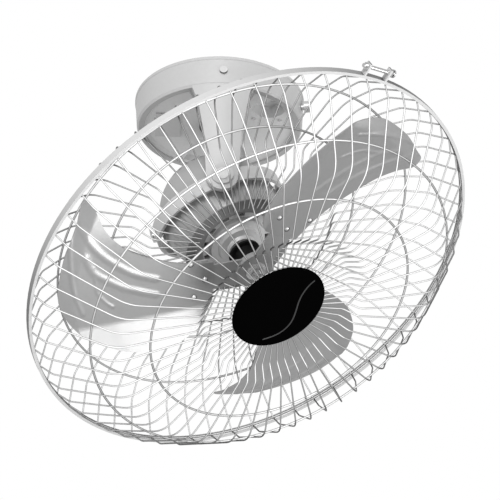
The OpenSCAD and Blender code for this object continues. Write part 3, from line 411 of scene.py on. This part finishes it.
def buildRivets():
    mesh = bmesh.new()
    for index in range(blade["count"]):
        turn = Matrix.Rotation(math.radians(bladeAngle(index)), 4, "Z")
        for x, y in rivet["places"]:
            head = bmesh.ops.create_uvsphere(mesh, u_segments=rivet["segments"], v_segments=rivet["rings"],
                                             radius=rivet["radius"] * mm)["verts"]
            for vert in head:
                vert.co.z *= rivet["height"] / rivet["radius"] if vert.co.z > 0 else rivet["under"]
            seat = Vector((x, y, sheetHeight(y) + blade["thickness"] / 2)) * mm
            bmesh.ops.transform(mesh, matrix=turn @ Matrix.Translation(seat), verts=head)
    made = addPiece("rivetHeads", mesh, "rivetSteel", "rotor", fanPlace)
    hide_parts("blade_rivets")


buildRivets()

# The badge's crowned disc and the fine wave pressed across it
badge = {
    "back": 58.3, "steps": 128,
    "profile": [(0, 0), (47.6, 0), (48.6, 0.8), (48.6, 1.6), (48.1, 2.4), (47, 2.8), (44, 3), (0, 3)],
    "line": 0.9, "flatness": 0.3, "sink": 0.1, "lineSteps": 60,
    "wave": [(37, 22.5), (30.6, 17.5), (24.5, 9.5), (20.4, 0), (17.6, -11), (14.5, -20.5), (10, -27.5),
             (3, -32.8), (-6, -35.6), (-17.5, -36)],
}


def buildBadge():
    mesh = bmesh.new()
    places = [Vector((r, 0, badge["back"] + z)) * mm for r, z in badge["profile"]]
    chain = [bmesh.ops.create_vert(mesh, co=place)["vert"][0] for place in places]
    edges = []
    for before, after in zip(chain, chain[1:]):
        edges += bmesh.ops.contextual_create(mesh, geom=[before, after])["edges"]
    spinRound(mesh, chain + edges, badge["steps"])
    bmesh.ops.remove_doubles(mesh, verts=mesh.verts, dist=1e-6)
    bmesh.ops.recalc_face_normals(mesh, faces=mesh.faces)
    disc = addPiece("badgeDisc", mesh, "badgeBlack", "head", fanPlace, smooth=30)
    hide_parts("badge")
    wave = bmesh.new()
    points = [Vector(p) for p in badge["wave"]]
    height = badge["back"] + badge["profile"][-1][1]
    path = []
    for step in range(badge["lineSteps"] + 1):
        spot = curveAt(points, step / badge["lineSteps"])
        path.append(Vector((spot.x, spot.y, height)) * mm)
    sweepWire(wave, path, badge["line"] * mm, sides=10)
    face = Matrix.Translation((0, 0, -height * mm))
    bmesh.ops.scale(wave, verts=wave.verts, vec=(1, 1, badge["flatness"]), space=face)
    bmesh.ops.translate(wave, verts=wave.verts, vec=(0, 0, -badge["sink"] * mm))
    bmesh.ops.recalc_face_normals(wave, faces=wave.faces)
    made = addPiece("badgeWave", wave, "badgeLine", "head", fanPlace, smooth=60)


buildBadge()
print("badge made")

# Camera of the photograph: a long lens that looks up at the fan
view = {
    "azimuth": -3.4, "elevation": -28.4, "distance": 1964 * mm, "shiftX": 3.9 * mm, "shiftY": 17.8 * mm,
    "lens": 144, "sensor": 36, "far": 50,
}
turn = math.radians(view["azimuth"])
lift = math.radians(view["elevation"])
forward = Vector((-math.sin(turn) * math.cos(lift), math.cos(turn) * math.cos(lift), -math.sin(lift)))
right = Vector((math.cos(turn), math.sin(turn), 0))
up = right.cross(forward)
bandCentre = fanPlace @ Vector((0, 0, 0))
camera = bpy.data.objects.new("camera", bpy.data.cameras.new("camera"))
camera.data.lens = view["lens"]
camera.data.sensor_width = view["sensor"]
camera.data.clip_end = view["far"]
camera.location = bandCentre - forward * view["distance"] - right * view["shiftX"] + up * view["shiftY"]
camera.rotation_mode = "QUATERNION"
camera.rotation_quaternion = Matrix((right, up, -forward)).transposed().to_quaternion()
bpy.context.scene.collection.objects.link(camera)
bpy.context.scene.camera = camera


def addLamp(name, place, size, power):
    lamp = bpy.data.objects.new(name, bpy.data.lights.new(name, "AREA"))
    lamp.data.shape = "DISK"
    lamp.data.size = size
    lamp.data.energy = power
    lamp.location = place
    lamp.rotation_mode = "QUATERNION"
    lamp.rotation_quaternion = (bandCentre - lamp.location).to_track_quat("-Z", "Y")
    bpy.context.scene.collection.objects.link(lamp)


# Round lamps that face the fan, with places and sizes in m
lamps = {
    "key": {"place": (-0.3, -2.6, 0.25), "size": 1.0, "power": 46},
    "side": {"place": (1.78, -0.84, -1.54), "size": 1.7, "power": 42},
    "left": {"place": (-1.8, -0.6, -0.4), "size": 1.2, "power": 6},
}
for lampName, lamp in lamps.items():
    addLamp(lampName, lamp["place"], lamp["size"], lamp["power"])

# White surroundings that the camera sees as white and that light the fan evenly
glow = {"even": 0.55, "seen": 0.45, "mirrored": 0.15}
world = bpy.data.worlds.new("studio")
bpy.context.scene.world = world
world.use_nodes = True
background = world.node_tree.nodes["Background"]
sky = Val(background.outputs[0])
straight = sky.node("LightPath", "Is Camera Ray")
mirrored = sky.node("LightPath", "Is Glossy Ray")
feed(background.inputs["Color"], grey(1))
feed(background.inputs["Strength"], straight * glow["seen"] + mirrored * glow["mirrored"] + glow["even"])

# Plain pale floor in m, far below the fan
stage = {"radius": 18, "drop": 2.4, "segments": 96, "level": 0.94, "rough": 0.7}
floorMesh = bmesh.new()
bmesh.ops.create_circle(floorMesh, cap_ends=True, segments=stage["segments"], radius=stage["radius"])
bmesh.ops.translate(floorMesh, verts=floorMesh.verts, vec=(0, 0, -stage["drop"]))
floorData = bpy.data.meshes.new("floor")
floorMesh.to_mesh(floorData)
floorMesh.free()
floor = bpy.data.objects.new("floor", floorData)
floorData.materials.append(makeFinish("floorPaint", grey(stage["level"]), stage["rough"]))
bpy.context.scene.collection.objects.link(floor)

bpy.context.scene.view_settings.view_transform = "Standard"
print("camera, lamps and stage set")
